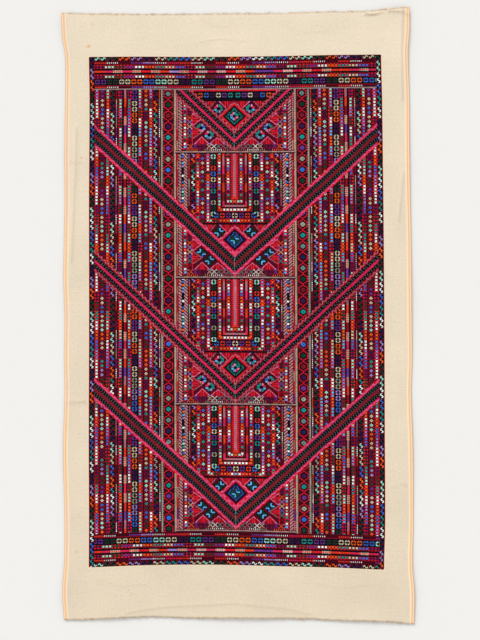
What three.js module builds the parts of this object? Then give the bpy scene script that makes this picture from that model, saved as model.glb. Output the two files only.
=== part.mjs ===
// Embroidered panel, lying flat with its worked face up.
//
// The panel is one length of undyed plain-weave cotton from a narrow loom. It has a selvedge down
// each side and a raw cut end at the top and the bottom. The middle is covered edge to edge with
// counted-thread embroidery, which stands proud of the cloth as a layer of thread of its own.
//
// Millimetres. +X runs across the cloth to the right, +Y along the warp to the top end, and +Z up
// out of the worked face. The origin is under the panel's middle, on the surface that it lies on.

import * as THREE from 'three';
import { mergeVertices } from 'three/addons/utils/BufferGeometryUtils.js';

const { clamp, lerp } = THREE.MathUtils;

// Driving dimensions.
const CLOTH_WIDTH = 420;
const CLOTH_LENGTH = 736;
const CLOTH_THICKNESS = 1.1;
const FIELD_WIDTH = 360;
const FIELD_LENGTH = 620;
const FIELD_MIDDLE_X = -1.5;
const FIELD_MIDDLE_Y = 5;
const THREAD_THICKNESS = 0.9;
const THREAD_GAP = 0.3;
const WELD_DISTANCE = 0.001;
const FAINTEST_RIDGE = 0.02;

// The cloth lies flat under the embroidery and the bare heading. All round that base its lighter
// margins stand off the surface.
const FLAT_BASE = { left: -181, right: 179, bottom: -310, top: 348 };
const MARGIN_RISE = 0.7;
const MARGIN_RUN = 14;

// How far a lifted edge reaches into the cloth. The margins beside the embroidery are wider.
const EDGE_REACH = { left: 26, right: 26, bottom: 50, top: 34 };

const CLOTH_COLOUR = 0xe9dbc4;
const THREAD_COLOUR = 0x7d2431;
const CLOTH_ROUGHNESS = 0.92;
const THREAD_ROUGHNESS = 0.78;

// The selvedges wander as the cloth was woven and pulled: where each one is at a height y.
const SELVEDGES = [
  { y: -368, left: -211.6, right: 214.4 },
  { y: -332, left: -213.3, right: 214.7 },
  { y: -297, left: -211.2, right: 212.3 },
  { y: -247, left: -210.9, right: 213.6 },
  { y: -161, left: -212.5, right: 212.8 },
  { y: -93, left: -210.7, right: 211.0 },
  { y: -51, left: -211.5, right: 212.1 },
  { y: 0, left: -210.8, right: 211.4 },
  { y: 43, left: -212.0, right: 211.1 },
  { y: 94, left: -211.5, right: 210.8 },
  { y: 146, left: -210.6, right: 209.6 },
  { y: 197, left: -210.9, right: 208.7 },
  { y: 265, left: -210.1, right: 208.6 },
  { y: 316, left: -210.1, right: 206.8 },
  { y: 338, left: -213.6, right: 208.4 },
  { y: 368, left: -214.7, right: 208.6 },
];

// The cut ends follow no thread: they rise and dip, and the right-hand corners run out the farthest.
const CUT_ENDS = [
  { x: -210, bottom: -370.2, top: 367.8 },
  { x: -168, bottom: -368.5, top: 366.8 },
  { x: -110, bottom: -366.2, top: 366.4 },
  { x: -66, bottom: -367.5, top: 366.5 },
  { x: -22, bottom: -367.5, top: 367.2 },
  { x: 37, bottom: -368.1, top: 367.5 },
  { x: 80, bottom: -368.4, top: 368.6 },
  { x: 110, bottom: -370.4, top: 369.6 },
  { x: 155, bottom: -371.1, top: 370.1 },
  { x: 183, bottom: -372.3, top: 372.6 },
  { x: 210, bottom: -375.0, top: 375.0 },
];

// The embroidery is a little narrower at the top than at the bottom, and its ends bow.
const FIELD_SIDES = [
  { y: -305, left: -181.6, right: 178.0 },
  { y: -250, left: -181.4, right: 179.4 },
  { y: -150, left: -181.7, right: 178.9 },
  { y: 0, left: -181.3, right: 178.3 },
  { y: 143, left: -181.4, right: 177.1 },
  { y: 265, left: -180.7, right: 175.6 },
  { y: 315, left: -181.5, right: 174.3 },
];
const FIELD_ENDS = [
  { x: -181, bottom: -306.4, top: 314.7 },
  { x: -119, bottom: -304.1, top: 315.1 },
  { x: -60, bottom: -303.2, top: 314.8 },
  { x: 0, bottom: -303.7, top: 315.1 },
  { x: 56, bottom: -305.3, top: 315.8 },
  { x: 114, bottom: -306.7, top: 317.0 },
  { x: 178, bottom: -309.3, top: 317.6 },
];

// Slack edges stand off the surface in long low waves: where each crest is along its edge, how far
// it runs to either side, and how high it stands.
const EDGE_WAVES = [
  { edge: 'left', at: 352, run: 34, height: 2.6 },
  { edge: 'left', at: 196, run: 52, height: 1.3 },
  { edge: 'left', at: 44, run: 46, height: 1.1 },
  { edge: 'left', at: -158, run: 56, height: 1.5 },
  { edge: 'left', at: -340, run: 34, height: 2.4 },
  { edge: 'right', at: 338, run: 44, height: 3.2 },
  { edge: 'right', at: 190, run: 60, height: 2.2 },
  { edge: 'right', at: 20, run: 62, height: 2.8 },
  { edge: 'right', at: -160, run: 58, height: 2.2 },
  { edge: 'right', at: -330, run: 42, height: 3.4 },
  { edge: 'bottom', at: -150, run: 46, height: 3.0 },
  { edge: 'bottom', at: 8, run: 74, height: 4.2 },
  { edge: 'bottom', at: 158, run: 44, height: 3.4 },
  { edge: 'top', at: 192, run: 26, height: 2.2 },
];

// Creases left by folding and storage. Each is a soft ridge along a short chain of points.
const CREASES = [
  { name: 'beside the left selvedge', height: 0.9, halfWidth: 3.2,
    path: [[-195.9, 228], [-197.1, 183], [-202.0, 66]] },
  { name: 'across the left margin', height: 1.2, halfWidth: 2.8,
    path: [[-212.0, -103.6], [-200.0, -104.9], [-188.0, -105.2]] },
  { name: 'beside the right stripe at the top', height: 1.1, halfWidth: 3.0,
    path: [[200.4, 372], [199.4, 318], [200.2, 262]] },
  { name: 'down the right margin', height: 0.9, halfWidth: 3.0,
    path: [[201.8, 174], [199.2, 144], [196.1, 115]] },
  { name: 'nick at the top end', height: 1.2, halfWidth: 3.4,
    path: [[154.0, 366.0], [165.6, 366.6], [176.0, 368.6]] },
  { name: 'turn at the top right corner', height: 1.4, halfWidth: 3.4,
    path: [[183.9, 369.8], [200.9, 369.0], [208.0, 366.0]] },
  { name: 'arch above the bottom end', height: 1.3, halfWidth: 4.2,
    path: [[-137.5, -362.2], [-97.3, -355.4], [-40.1, -352.2], [-3.6, -350.6],
      [54.8, -356.1], [87.7, -363.4]] },
];

// The cloth is divided finely where it lifts and creases, and coarsely under the embroidery.
const CLOTH_COLUMNS = [
  { from: -210, to: -180, cells: 10 },
  { from: -180, to: 178, cells: 10 },
  { from: 178, to: 210, cells: 10 },
];
const CLOTH_ROWS = [
  { from: -368, to: -302, cells: 15 },
  { from: -302, to: -113, cells: 9 },
  { from: -113, to: -95, cells: 6 },
  { from: -95, to: 316, cells: 17 },
  { from: 316, to: 368, cells: 11 },
];
const FIELD_CELLS = { across: 12, along: 20 };

// The height or place in a table's column between two rows, on a curve through all of them.
function between(rows, along, column, place) {
  const row = (index) => rows[clamp(index, 0, rows.length - 1)];
  let first = 0;
  while (first < rows.length - 2 && row(first + 1)[along] < place) {
    first += 1;
  }
  const t = clamp((place - row(first)[along]) / (row(first + 1)[along] - row(first)[along]), 0, 1);
  const [a, b, c, d] = [-1, 0, 1, 2].map((step) => row(first + step)[column]);
  return b + 0.5 * t * (c - a + t * (2 * a - 5 * b + 4 * c - d + t * (3 * (b - c) + d - a)));
}

// A bell that is 1 at its middle and close to nothing two runs away.
function bell(distance, run) {
  return Math.exp(-((distance / run) ** 2));
}

// How far a point is from a chain of straight stretches.
function distanceToPath(x, y, path) {
  const point = new THREE.Vector2(x, y);
  let nearest = Infinity;
  for (let i = 0; i + 1 < path.length; i += 1) {
    const start = new THREE.Vector2(...path[i]);
    const stretch = new THREE.Vector2(...path[i + 1]).sub(start);
    const t = clamp(point.clone().sub(start).dot(stretch) / stretch.lengthSq(), 0, 1);
    nearest = Math.min(nearest, point.distanceTo(start.addScaledVector(stretch, t)));
  }
  return nearest;
}

// How far each edge of the cloth is from a point, and where the point is along that edge.
function edgesFrom(x, y) {
  return {
    left: { away: x - between(SELVEDGES, 'y', 'left', y), along: y },
    right: { away: between(SELVEDGES, 'y', 'right', y) - x, along: y },
    bottom: { away: y - between(CUT_ENDS, 'x', 'bottom', x), along: x },
    top: { away: between(CUT_ENDS, 'x', 'top', x) - y, along: x },
  };
}

// How high the cloth's underside stands above the surface at a point.
function liftAt(x, y) {
  const edges = edgesFrom(x, y);
  const { left, right, bottom, top } = FLAT_BASE;
  const outside = Math.max(left - x, x - right, bottom - y, y - top);
  let lift = MARGIN_RISE * clamp(outside / MARGIN_RUN, 0, 1);
  for (const wave of EDGE_WAVES) {
    const { away, along } = edges[wave.edge];
    const inward = clamp(1 - away / EDGE_REACH[wave.edge], 0, 1) ** 2;
    lift += wave.height * inward * bell(along - wave.at, wave.run);
  }
  for (const crease of CREASES) {
    const ridge = bell(distanceToPath(x, y, crease.path), crease.halfWidth);
    lift += ridge > FAINTEST_RIDGE ? crease.height * ridge : 0;
  }
  return lift;
}

// The places of the grid lines in a table of bands.
function gridLines(bands) {
  const lines = [bands[0].from];
  for (const { from, to, cells } of bands) {
    for (let i = 1; i <= cells; i += 1) {
      lines.push(lerp(from, to, i / cells));
    }
  }
  return lines;
}

// One layer of cells as a closed body. place(column, row) gives a point of its underside.
function layerGeometry(columns, rows, thickness, place) {
  const box = new THREE.BoxGeometry(1, 1, 1, columns, rows, 1);
  const position = box.attributes.position;
  for (let i = 0; i < position.count; i += 1) {
    const column = Math.round((position.getX(i) + 0.5) * columns);
    const row = Math.round((position.getY(i) + 0.5) * rows);
    const [x, y, z] = place(column, row);
    position.setXYZ(i, x, y, z + (position.getZ(i) > 0 ? thickness : 0));
  }
  box.deleteAttribute('normal');
  box.deleteAttribute('uv');
  const geometry = mergeVertices(box, WELD_DISTANCE);
  geometry.computeVertexNormals();
  return geometry;
}

// The cloth: its outline, its slack edges and its creases.
function groundCloth() {
  const columns = gridLines(CLOTH_COLUMNS);
  const rows = gridLines(CLOTH_ROWS);
  const place = (column, row) => {
    const nominalX = columns[column];
    const nominalY = rows[row];
    const left = between(SELVEDGES, 'y', 'left', nominalY);
    const right = between(SELVEDGES, 'y', 'right', nominalY);
    const bottom = between(CUT_ENDS, 'x', 'bottom', nominalX);
    const top = between(CUT_ENDS, 'x', 'top', nominalX);
    const x = lerp(left, right, nominalX / CLOTH_WIDTH + 0.5);
    const y = lerp(bottom, top, nominalY / CLOTH_LENGTH + 0.5);
    return [x, y, liftAt(x, y)];
  };
  return layerGeometry(columns.length - 1, rows.length - 1, CLOTH_THICKNESS, place);
}

// The embroidery: a level layer of thread over the part of the cloth that lies flat.
function embroideredField() {
  const base = CLOTH_THICKNESS + THREAD_GAP;
  const place = (column, row) => {
    const across = column / FIELD_CELLS.across;
    const up = row / FIELD_CELLS.along;
    const nominalX = FIELD_MIDDLE_X + FIELD_WIDTH * (across - 0.5);
    const nominalY = FIELD_MIDDLE_Y + FIELD_LENGTH * (up - 0.5);
    const left = between(FIELD_SIDES, 'y', 'left', nominalY);
    const right = between(FIELD_SIDES, 'y', 'right', nominalY);
    const bottom = between(FIELD_ENDS, 'x', 'bottom', nominalX);
    const top = between(FIELD_ENDS, 'x', 'top', nominalX);
    return [lerp(left, right, across), lerp(bottom, top, up), base];
  };
  return layerGeometry(FIELD_CELLS.across, FIELD_CELLS.along, THREAD_THICKNESS, place);
}

function piece(name, geometry, color, roughness) {
  const material = new THREE.MeshStandardMaterial({ color, roughness, metalness: 0 });
  const mesh = new THREE.Mesh(geometry, material);
  mesh.name = name;
  return mesh;
}

const panel = new THREE.Group();
panel.add(piece('ground_cloth', groundCloth(), CLOTH_COLOUR, CLOTH_ROUGHNESS));
panel.add(piece('embroidered_field', embroideredField(), THREAD_COLOUR, THREAD_ROUGHNESS));

export default panel;
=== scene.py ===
# %% [markdown]
# # Embroidered panel
# One narrow-loom cotton cloth lies flat, and its middle is covered edge to edge with counted-thread
# embroidery. In Blender it becomes a thin sheet for the cloth, a fine relief for the stitches on it,
# another for their backs underneath, and a fringe of frayed ends. The lesson goes from the frame to
# the cloth's shape, then to a stitch chart worked out by rules, and last to finishes and light.

# %% The frame and the tools
import bpy
import numpy as np
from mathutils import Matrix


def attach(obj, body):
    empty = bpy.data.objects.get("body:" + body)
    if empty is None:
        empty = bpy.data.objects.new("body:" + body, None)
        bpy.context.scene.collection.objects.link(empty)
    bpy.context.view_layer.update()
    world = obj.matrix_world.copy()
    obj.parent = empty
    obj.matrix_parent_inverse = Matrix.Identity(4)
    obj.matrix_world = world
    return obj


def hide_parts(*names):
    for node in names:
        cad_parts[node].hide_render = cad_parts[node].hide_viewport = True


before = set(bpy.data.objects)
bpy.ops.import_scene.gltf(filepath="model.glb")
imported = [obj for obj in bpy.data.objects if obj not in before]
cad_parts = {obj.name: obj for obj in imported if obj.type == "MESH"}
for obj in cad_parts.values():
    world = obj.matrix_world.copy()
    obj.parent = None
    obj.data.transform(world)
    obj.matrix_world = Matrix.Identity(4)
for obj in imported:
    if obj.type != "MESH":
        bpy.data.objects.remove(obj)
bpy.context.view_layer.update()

# %% [markdown]
# ## The cloth's outline
# A hand-woven cloth is never a true rectangle. Its selvedges wander by a millimetre or two, and its
# cut ends rise and dip. The solid's own few points are repeated here, and one smooth curve runs
# through each row of them, so that the sheet lies exactly where the solid does.

# %% Outline tables: millimetres in the tables, metres after them
MM = 0.001
CLOTH_WIDTH = 420 * MM
CLOTH_LENGTH = 736 * MM
CLOTH_THICKNESS = 1.1 * MM

# y, left selvedge, right selvedge
SELVEDGES = MM * np.array([
    (-368, -211.6, 214.4), (-332, -213.3, 214.7), (-297, -211.2, 212.3), (-247, -210.9, 213.6),
    (-161, -212.5, 212.8), (-93, -210.7, 211.0), (-51, -211.5, 212.1), (0, -210.8, 211.4),
    (43, -212.0, 211.1), (94, -211.5, 210.8), (146, -210.6, 209.6), (197, -210.9, 208.7),
    (265, -210.1, 208.6), (316, -210.1, 206.8), (338, -213.6, 208.4), (368, -214.7, 208.6),
])
# x, bottom cut end, top cut end
CUT_ENDS = MM * np.array([
    (-210, -370.2, 367.8), (-168, -368.5, 366.8), (-110, -366.2, 366.4), (-66, -367.5, 366.5),
    (-22, -367.5, 367.2), (37, -368.1, 367.5), (80, -368.4, 368.6), (110, -370.4, 369.6),
    (155, -371.1, 370.1), (183, -372.3, 372.6), (210, -375.0, 375.0),
])
# y, left side of the embroidery, right side
FIELD_SIDES = MM * np.array([
    (-305, -181.6, 178.0), (-250, -181.4, 179.4), (-150, -181.7, 178.9), (0, -181.3, 178.3),
    (143, -181.4, 177.1), (265, -180.7, 175.6), (315, -181.5, 174.3),
])
# x, bottom end of the embroidery, top end
FIELD_ENDS = MM * np.array([
    (-181, -306.4, 314.7), (-119, -304.1, 315.1), (-60, -303.2, 314.8), (0, -303.7, 315.1),
    (56, -305.3, 315.8), (114, -306.7, 317.0), (178, -309.3, 317.6),
])
LOW_SIDE, HIGH_SIDE = 1, 2


def between(rows, column, place):
    """A column of a table at any place: between two rows, the cubic whose slope at each row is that
    of the line from the row before it to the row after it."""
    keys, values = rows[:, 0], rows[:, column]
    first = np.clip(np.searchsorted(keys, place) - 1, 0, len(keys) - 2)
    t = np.clip((place - keys[first]) / (keys[first + 1] - keys[first]), 0, 1)
    a, b = values[np.maximum(first - 1, 0)], values[first]
    c, d = values[first + 1], values[np.minimum(first + 2, len(values) - 1)]
    return b + 0.5 * t * (c - a + t * (2 * a - 5 * b + 4 * c - d + t * (3 * (b - c) + d - a)))


print("cloth across its middle, m:",
      between(SELVEDGES, HIGH_SIDE, 0.0) - between(SELVEDGES, LOW_SIDE, 0.0))

# %% [markdown]
# ## Slack edges and creases
# Dense stitching pulls on a cloth, so the bare margins are a little too long for it and stand off the
# table in low waves. Folding and storage leave narrow creases too. Both are added up from bells: a
# bell is 1 at its middle and fades to nothing, which is how a small fold in limp cotton dies away.

# %% Waves along the edges and creases across the margins
FLAT_BASE = {"left": -181 * MM, "right": 179 * MM, "bottom": -310 * MM, "top": 348 * MM}
MARGIN_RISE = 0.7 * MM
MARGIN_RUN = 14 * MM
EDGE_REACH = {"left": 26 * MM, "right": 26 * MM, "bottom": 50 * MM, "top": 34 * MM}

# edge, where the crest is along it, how far it runs each way, how high it stands: mm
EDGE_WAVES = [
    ("left", 352, 34, 2.6), ("left", 196, 52, 1.3), ("left", 44, 46, 1.1), ("left", -158, 56, 1.5),
    ("left", -340, 34, 2.4), ("right", 338, 44, 3.2), ("right", 190, 60, 2.2), ("right", 20, 62, 2.8),
    ("right", -160, 58, 2.2), ("right", -330, 42, 3.4), ("bottom", -150, 46, 3.0),
    ("bottom", 8, 74, 4.2), ("bottom", 158, 44, 3.4), ("top", 192, 26, 2.2),
]
# height, half width and path of each crease, mm: the main ones, and then the faint ones
CREASES = [
    (0.9, 3.2, [(-195.9, 228), (-197.1, 183), (-202.0, 66)]),
    (1.2, 2.8, [(-212.0, -103.6), (-200.0, -104.9), (-188.0, -105.2)]),
    (1.1, 3.0, [(200.4, 372), (199.4, 318), (200.2, 262)]),
    (0.9, 3.0, [(201.8, 174), (199.2, 144), (196.1, 115)]),
    (1.2, 2.0, [(154.0, 366.0), (165.6, 366.6), (176.0, 368.6)]),
    (1.4, 2.0, [(183.9, 369.8), (200.9, 369.0), (208.0, 366.0)]),
    (0.6, 2.6, [(-137.5, -362.2), (-97.3, -355.4), (-40.1, -352.2), (-3.6, -350.6),
                (54.8, -356.1), (87.7, -363.4)]),
]
FAINT_CREASES = [
    (0.35, 2.2, [(-208.0, 185.0), (-198.0, 185.5), (-188.0, 184.6)]),
    (0.45, 2.2, [(176.0, 184.0), (192.0, 185.0), (208.5, 184.0)]),
    (0.40, 1.8, [(-46.0, 333.0), (-22.0, 336.5), (8.0, 333.6)]),
    (0.20, 2.0, [(-46.0, 361.0), (-30.0, 352.0), (-12.0, 350.0)]),
    (0.18, 2.0, [(60.0, 350.0), (84.0, 344.0), (112.0, 346.0)]),
    (0.25, 2.4, [(-208.0, -250.0), (-196.0, -244.0), (-186.0, -245.0)]),
    (0.25, 2.4, [(188.0, -210.0), (200.0, -206.0), (212.0, -208.0)]),
    (0.22, 2.2, [(-170.0, -322.0), (-140.0, -330.0), (-112.0, -327.0)]),
    (0.20, 2.2, [(96.0, -326.0), (126.0, -332.0), (160.0, -328.0)]),
]
FAINTEST_RIDGE = 0.02
# strength, half width and path of each line of painted shade under a fold, mm
PAINTED_FOLD_SHADE = [
    (0.75, 1.1, [(154.0, 366.6), (160.0, 365.4), (169.0, 365.8)]),
    (0.55, 1.0, [(183.0, 369.8), (197.0, 369.0), (204.0, 368.4)]),
    (0.30, 1.5, [(201.5, 371.0), (200.5, 345.0), (199.5, 326.0)]),
    (0.30, 1.2, [(-208.0, -104.0), (-198.0, -104.8), (-186.0, -105.2)]),
    (0.18, 1.2, [(-97.3, -355.4), (-40.1, -352.2), (-3.6, -350.6)]),
]


def bell(distance, run):
    """1 at the middle, and e to the power of minus the square of distance over run beyond it."""
    return np.exp(-(distance / run) ** 2)


def distance_to_path(x, y, path):
    """How far points are from a chain of straight stretches: the least of the distances to each."""
    nearest = np.full(np.shape(x), np.inf)
    for (x0, y0), (x1, y1) in zip(path[:-1], path[1:]):
        dx, dy = x1 - x0, y1 - y0
        t = np.clip(((x - x0) * dx + (y - y0) * dy) / (dx * dx + dy * dy), 0, 1)
        nearest = np.minimum(nearest, np.hypot(x - x0 - t * dx, y - y0 - t * dy))
    return nearest


def lift_at(x, y, creases):
    """How high the underside stands: the margin's ramp, plus each wave as height times the square of
    its fading inwards times a bell along the edge, plus each crease as a bell across its path."""
    outside = np.maximum.reduce([FLAT_BASE["left"] - x, x - FLAT_BASE["right"],
                                 FLAT_BASE["bottom"] - y, y - FLAT_BASE["top"]])
    lift = MARGIN_RISE * np.clip(outside / MARGIN_RUN, 0, 1)
    edges = {
        "left": (x - between(SELVEDGES, LOW_SIDE, y), y),
        "right": (between(SELVEDGES, HIGH_SIDE, y) - x, y),
        "bottom": (y - between(CUT_ENDS, LOW_SIDE, x), x),
        "top": (between(CUT_ENDS, HIGH_SIDE, x) - y, x),
    }
    for edge, crest, run, height in EDGE_WAVES:
        away, along = edges[edge]
        inward = np.clip(1 - away / EDGE_REACH[edge], 0, 1) ** 2
        lift += MM * height * inward * bell(along - MM * crest, MM * run)
    for height, half_width, path in creases:
        ridge = bell(distance_to_path(x, y, MM * np.array(path)), MM * half_width)
        lift += np.where(ridge > FAINTEST_RIDGE, MM * height * ridge, 0)
    return lift


print("bottom edge stands at most, mm:",
      round(float(lift_at(np.linspace(-0.2, 0.2, 99), np.full(99, -0.37), CREASES).max() / MM), 2))

# %% [markdown]
# ## From a grid to a mesh
# Every surface here is a grid of points: one array for x, one for y and one for z. Two such grids,
# joined round their rims, make a closed sheet. foreach_set hands whole arrays to Blender at once,
# which is hundreds of times faster than adding points one by one.

# %% Mesh helpers
def grid_faces(rows, columns, start=0, up=True):
    """The quads of a grid of points: corners (r, c), (r, c+1), (r+1, c+1), (r+1, c), turned the other
    way round to face down. Rows run towards +y and columns towards +x."""
    number = start + np.arange(rows * columns).reshape(rows, columns)
    quads = np.stack([number[:-1, :-1], number[:-1, 1:], number[1:, 1:], number[1:, :-1]], -1)
    quads = quads.reshape(-1, 4)
    return quads if up else quads[:, ::-1]


def new_piece(name, points, quads, smooth=True):
    """A mesh object from an array of points and an array of quads."""
    mesh = bpy.data.meshes.new(name)
    mesh.vertices.add(len(points))
    mesh.vertices.foreach_set("co", points.astype(np.float32).ravel())
    mesh.loops.add(quads.size)
    mesh.loops.foreach_set("vertex_index", quads.astype(np.int32).ravel())
    mesh.polygons.add(len(quads))
    mesh.polygons.foreach_set("loop_start", np.arange(0, quads.size, 4, dtype=np.int32))
    mesh.polygons.foreach_set("use_smooth", np.full(len(quads), smooth))
    mesh.update(calc_edges=True)
    mesh.validate()
    piece = bpy.data.objects.new(name, mesh)
    bpy.context.scene.collection.objects.link(piece)
    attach(piece, "root")
    return piece


def bake_map(piece, uv):
    """The piece's own map for baked textures: one (u, v) for each corner of each face."""
    layer = piece.data.uv_layers.new(name="OFBake")
    layer.data.foreach_set("uv", uv.astype(np.float32).ravel())


def paint_points(piece, name, values):
    """A number for each point, which a material can read by its name."""
    attribute = piece.data.attributes.new(name, "FLOAT", "POINT")
    attribute.data.foreach_set("value", values.astype(np.float32).ravel())


print("quads in a grid of 3 by 4 points:", len(grid_faces(3, 4)))

# %% [markdown]
# ## The cloth
# The real one is undyed plain-weave cotton. The grid has a line at each edge of the selvedge's
# stripes, where the warp is doubled and a touch thicker, and close lines in the margins, where the
# creases are. Under the stitching, where nothing shows, the lines are far apart. The underside is
# drawn up there by a third of a millimetre, which makes room for the backs of the stitches.

# %% Lines of the cloth's grid
SELVEDGE_LINES = MM * np.array([0, 0.7, 1.7, 2.4, 3.0, 3.6, 4.2, 5.0, 5.9, 6.6])
# how high the ridges in each selvedge are, and their places and half widths, mm from the edge
STRIPE_RIDGE = 0.16 * MM
SELVEDGE_RIDGES = [(1.2, 0.7), (3.3, 0.6), (5.2, 0.6)]
# how much thinner each face is at the cloth's edges, and how soon that fades
THINNER_BY = 0.35 * MM
SELVEDGE_ROUNDING, CUT_ROUNDING = 0.5 * MM, 0.6 * MM
# the part of the grid that lies under the stitching, in metres
UNDER_LEFT, UNDER_RIGHT, UNDER_BOTTOM, UNDER_TOP = -0.178, 0.175, -0.305, 0.315
MARGIN_STEP = 1.5 * MM
CUT_MARGIN_STEP = 1.2 * MM
UNDER_FIELD_STEP = 3.5 * MM
ROWS_BESIDE_FIELD = 3.0 * MM
BACKS_ROOM = 0.35 * MM
BACKS_INSET = 1.0 * MM
BACKS_RAMP = 3.0 * MM
RAGGED = 0.6 * MM
HALF_CLOTH = CLOTH_WIDTH / 2


def even_lines(start, end, step):
    """Lines from start to end, as near to step apart as whole steps allow."""
    return np.linspace(start, end, max(2, int(round(abs(end - start) / step)) + 1))


left_margin = even_lines(-HALF_CLOTH + SELVEDGE_LINES[-1], UNDER_LEFT, MARGIN_STEP)
right_margin = even_lines(UNDER_RIGHT, HALF_CLOTH - SELVEDGE_LINES[-1], MARGIN_STEP)
under_field = even_lines(UNDER_LEFT, UNDER_RIGHT, UNDER_FIELD_STEP)
CLOTH_COLUMNS = np.concatenate([
    -HALF_CLOTH + SELVEDGE_LINES[:-1], left_margin, under_field[1:-1], right_margin,
    HALF_CLOTH - SELVEDGE_LINES[-2::-1]])
CLOTH_ROWS = np.concatenate([
    even_lines(-CLOTH_LENGTH / 2, UNDER_BOTTOM, CUT_MARGIN_STEP),
    even_lines(UNDER_BOTTOM, UNDER_TOP, ROWS_BESIDE_FIELD)[1:-1],
    even_lines(UNDER_TOP, CLOTH_LENGTH / 2, CUT_MARGIN_STEP)])
print("cloth grid:", len(CLOTH_COLUMNS), "by", len(CLOTH_ROWS), "lines")

# %% The grid stretched to the cloth's outline
nominal_x, nominal_y = np.meshgrid(CLOTH_COLUMNS, CLOTH_ROWS)
cloth_left = between(SELVEDGES, LOW_SIDE, nominal_y)
cloth_right = between(SELVEDGES, HIGH_SIDE, nominal_y)
cloth_bottom = between(CUT_ENDS, LOW_SIDE, nominal_x)
cloth_top = between(CUT_ENDS, HIGH_SIDE, nominal_x)
across = nominal_x / CLOTH_WIDTH + 0.5
upward = nominal_y / CLOTH_LENGTH + 0.5
cloth_x = cloth_left + (cloth_right - cloth_left) * across
cloth_y = cloth_bottom + (cloth_top - cloth_bottom) * upward
# where the cut wandered from thread to thread: fades away within a tenth of the length
rng = np.random.default_rng(7)
ragged = RAGGED * rng.normal(0, 1, (2, len(CLOTH_COLUMNS)))
cloth_y = cloth_y + ragged[0] * np.clip(1 - 10 * upward, 0, 1) ** 4
cloth_y = cloth_y + ragged[1] * np.clip(10 * upward - 9, 0, 1) ** 4
print("the cuts wander by at most, mm:", round(float(np.abs(ragged).max() / MM), 2))


# %% Heights of the two faces
def outside_field(x, y):
    """How far a point is outside the embroidery's edge; inside it, minus the way to the edge."""
    return np.maximum.reduce([
        between(FIELD_SIDES, LOW_SIDE, y) - x, x - between(FIELD_SIDES, HIGH_SIDE, y),
        between(FIELD_ENDS, LOW_SIDE, x) - y, y - between(FIELD_ENDS, HIGH_SIDE, x)])


from_selvedge = np.minimum(cloth_x - cloth_left, cloth_right - cloth_x)
from_cut_end = np.minimum(cloth_y - cloth_bottom, cloth_top - cloth_y)
from_field = outside_field(cloth_x, cloth_y)
lift = lift_at(cloth_x, cloth_y, CREASES + FAINT_CREASES)
drawn_up = BACKS_ROOM * np.clip((-from_field - BACKS_INSET) / BACKS_RAMP, 0, 1)
stripe = STRIPE_RIDGE * sum(bell(from_selvedge - place * MM, half_width * MM)
                            for place, half_width in SELVEDGE_RIDGES)
thinner_rim = THINNER_BY * (bell(from_selvedge, SELVEDGE_ROUNDING) + bell(from_cut_end, CUT_ROUNDING))
under_z = lift + drawn_up + thinner_rim
over_z = lift + CLOTH_THICKNESS + stripe - thinner_rim
print("the cloth's upper face is highest at, mm:", round(float(over_z.max() / MM), 2))

# %% The two faces and their rim
under_points = np.stack([cloth_x, cloth_y, under_z], -1).reshape(-1, 3)
over_points = np.stack([cloth_x, cloth_y, over_z], -1).reshape(-1, 3)
cloth_shape = cloth_x.shape
over_quads = grid_faces(*cloth_shape)
under_quads = grid_faces(*cloth_shape, start=cloth_x.size, up=False)
number = np.arange(cloth_x.size).reshape(cloth_shape)
rim = np.concatenate([number[0, :-1], number[:-1, -1], number[-1, :0:-1], number[:0:-1, 0]])
rim_next = np.roll(rim, -1)
rim_quads = np.stack([rim + cloth_x.size, rim_next + cloth_x.size, rim_next, rim], -1)
cloth = new_piece("ground_cotton", np.concatenate([over_points, under_points]),
                  np.concatenate([over_quads, under_quads, rim_quads]))
rounded = np.ones(len(cloth.data.polygons), bool)
rounded[-len(rim_quads):] = False
cloth.data.polygons.foreach_set("use_smooth", rounded)
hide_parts("ground_cloth")
print("cloth triangles:", 2 * len(cloth.data.polygons))

# %% Painted shade in the creases, and what the finish reads
# painted shade along each crease lies in a narrower line than the crease and is stronger in a higher one;
# then painted shade along each listed fold
CREASE_SHADE_WIDTH = 0.42
CREASE_SHADE_STRENGTH = 0.27
crease_shade = np.zeros(cloth_shape)
for height, half_width, path in CREASES + FAINT_CREASES:
    line = bell(distance_to_path(cloth_x, cloth_y, MM * np.array(path)), MM * CREASE_SHADE_WIDTH * half_width)
    crease_shade = np.maximum(crease_shade, CREASE_SHADE_STRENGTH * height ** 0.5 * line)
for strength, half_width, path in PAINTED_FOLD_SHADE:
    line = bell(distance_to_path(cloth_x, cloth_y, MM * np.array(path)), MM * half_width)
    crease_shade = np.maximum(crease_shade, strength * line)
for name, values in (("from_selvedge", from_selvedge), ("from_cut_end", from_cut_end),
                     ("from_field", from_field), ("crease_shade", crease_shade)):
    paint_points(cloth, name, np.concatenate([values.ravel(), values.ravel()]))
print("strongest dust:", round(float(crease_shade.max()), 2))

# %% The cloth's map for baking: the upper face fills the left half, the underside the right
BAKE_HALF, BAKE_EDGE = 0.5, 0.012
map_u = BAKE_EDGE + (BAKE_HALF - 2 * BAKE_EDGE) * across.ravel()
map_v = BAKE_EDGE + (1 - 2 * BAKE_EDGE) * upward.ravel()
cloth_map = np.concatenate([np.stack([map_u, map_v], -1), np.stack([map_u + BAKE_HALF, map_v], -1)])
bake_map(cloth, cloth_map[np.concatenate([over_quads, under_quads, rim_quads])])
print("mapped corners:", 4 * len(cloth.data.polygons))

# %% [markdown]
# ## Frayed ends
# The cut ends have no hem, so the last weft threads have slipped off and the warp ends stick out by
# a millimetre or two. Each is a three-sided sliver, thinner at its tip. All of them are computed as
# one array: a row of rings for each thread.

# %% Warp ends along both cuts
FRAY_STEP = 0.7 * MM
FRAY_THICKNESS = 0.6 * MM
FRAY_LONGEST = 3.2 * MM
FRAY_SHORTEST = 0.5 * MM
FRAY_ROOT = 0.6 * MM
FRAY_LEAN = 0.6
FRAY_SAG = 0.15 * MM
FRAY_RINGS = 3
FRAY_SIDES = 3
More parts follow.
